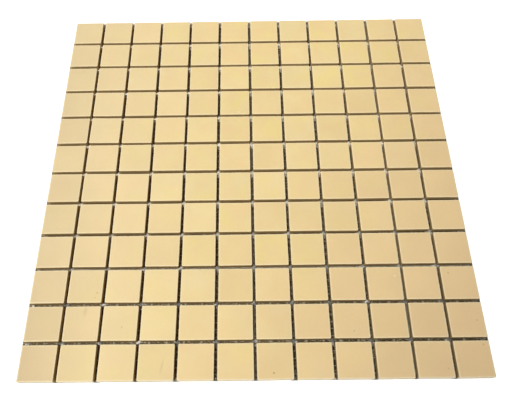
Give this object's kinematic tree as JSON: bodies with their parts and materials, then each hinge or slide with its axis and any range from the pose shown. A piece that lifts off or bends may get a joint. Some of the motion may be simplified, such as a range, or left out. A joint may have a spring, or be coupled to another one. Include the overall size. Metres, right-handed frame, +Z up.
{
  "type": "mosaic tile sheet",
  "caption": "Flat sheet of small square unglazed porcelain tiles, spaced evenly and glued to a glass-fibre mesh, for bedding in adhesive on floors and walls.",
  "frame": {"origin": "middle of the sheet, on the underside of the mesh backing", "axes": "+X across the sheet along a tile row, +Y along the sheet from the front row to the back row, +Z up out of the tile faces"},
  "size_m": [0.298, 0.298, 0.0055],
  "materials": {
    "porcelain": "unglazed, matt, through-coloured straw yellow with slight clouding from tile to tile",
    "glass_fibre": "off-white woven glass yarn, stiffened with resin",
    "adhesive": "dried white glue, slightly cloudy and satin"
  },
  "bodies": {
    "root": {"tile_row_01": "porcelain", "tile_row_02": "porcelain", "tile_row_03": "porcelain", "tile_row_04": "porcelain", "tile_row_05": "porcelain", "tile_row_06": "porcelain", "tile_row_07": "porcelain", "tile_row_08": "porcelain", "tile_row_09": "porcelain", "tile_row_10": "porcelain", "tile_row_11": "porcelain", "tile_row_12": "porcelain", "mesh_threads_lengthwise": "glass_fibre", "mesh_threads_crosswise": "glass_fibre", "glue_dots": "adhesive", "side_glue_dots": "adhesive", "end_glue_dots": "adhesive"}
  },
  "joints": []
}
